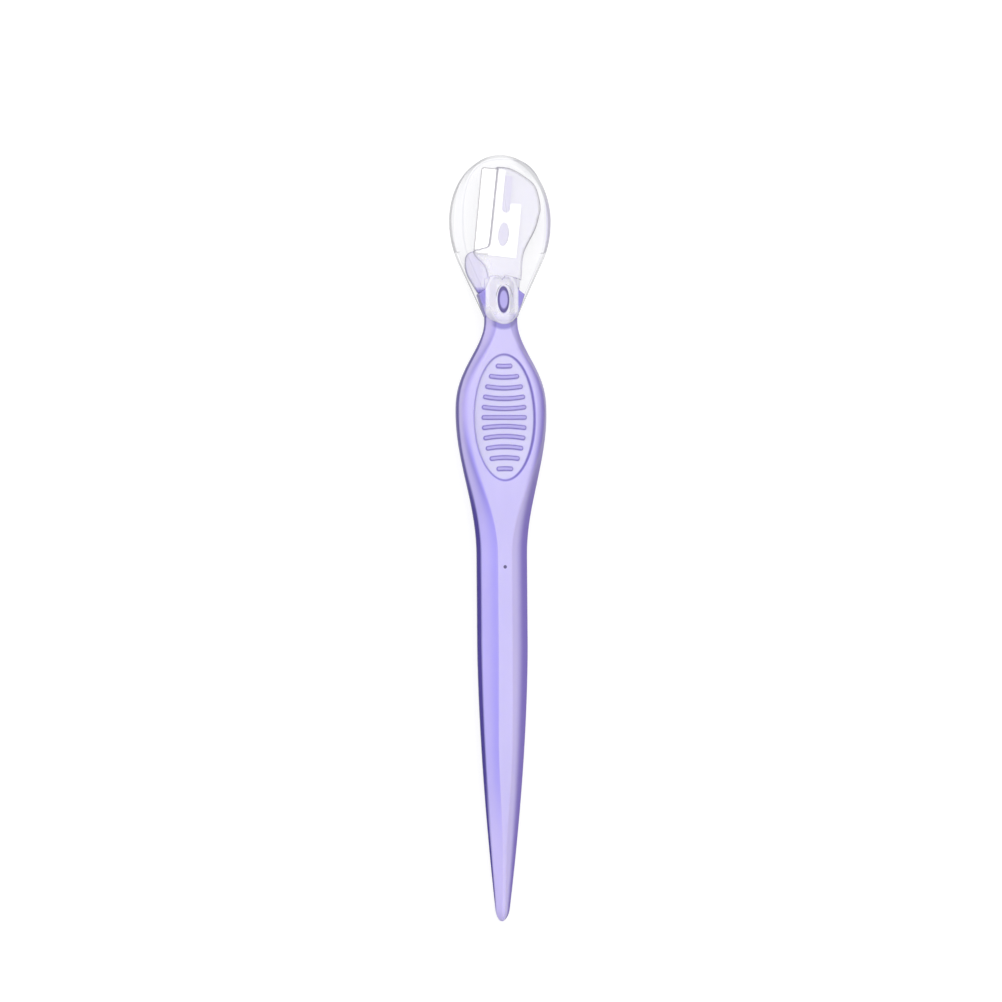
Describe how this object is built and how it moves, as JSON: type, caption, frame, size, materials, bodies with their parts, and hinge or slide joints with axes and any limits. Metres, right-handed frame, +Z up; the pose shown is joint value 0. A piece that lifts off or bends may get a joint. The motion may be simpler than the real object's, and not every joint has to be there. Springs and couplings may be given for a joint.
{
  "type": "eyebrow razor",
  "caption": "Slim plastic eyebrow razor with a ribbed thumb pad, a slanted blade in a flat head, and a clear egg-shaped cap that slides off.",
  "frame": {"origin": "centre of the overall box's bottom face: the razor lies on its back, ribbed front up", "axes": "+X across, away from the cutting edge; +Y along the razor, from the tail to the cap; +Z up, out of the front"},
  "size_m": [0.0198, 0.15, 0.008],
  "materials": {
    "handle_plastic": "translucent lavender, smooth",
    "blade_steel": "fine ground, with a polished bevel",
    "retainer_plastic": "translucent pale lavender, smooth",
    "cap_plastic": "clear, polished"
  },
  "bodies": {
    "razor": {"handle": "handle_plastic", "blade": "blade_steel", "blade_retainer": "retainer_plastic"},
    "cap": {"cap": "cap_plastic"}
  },
  "joints": [
    {"name": "cap_slide", "type": "slide", "parent": "razor", "child": "cap", "axis": [0, 1, 0], "range_m": [0, 0.04]}
  ]
}
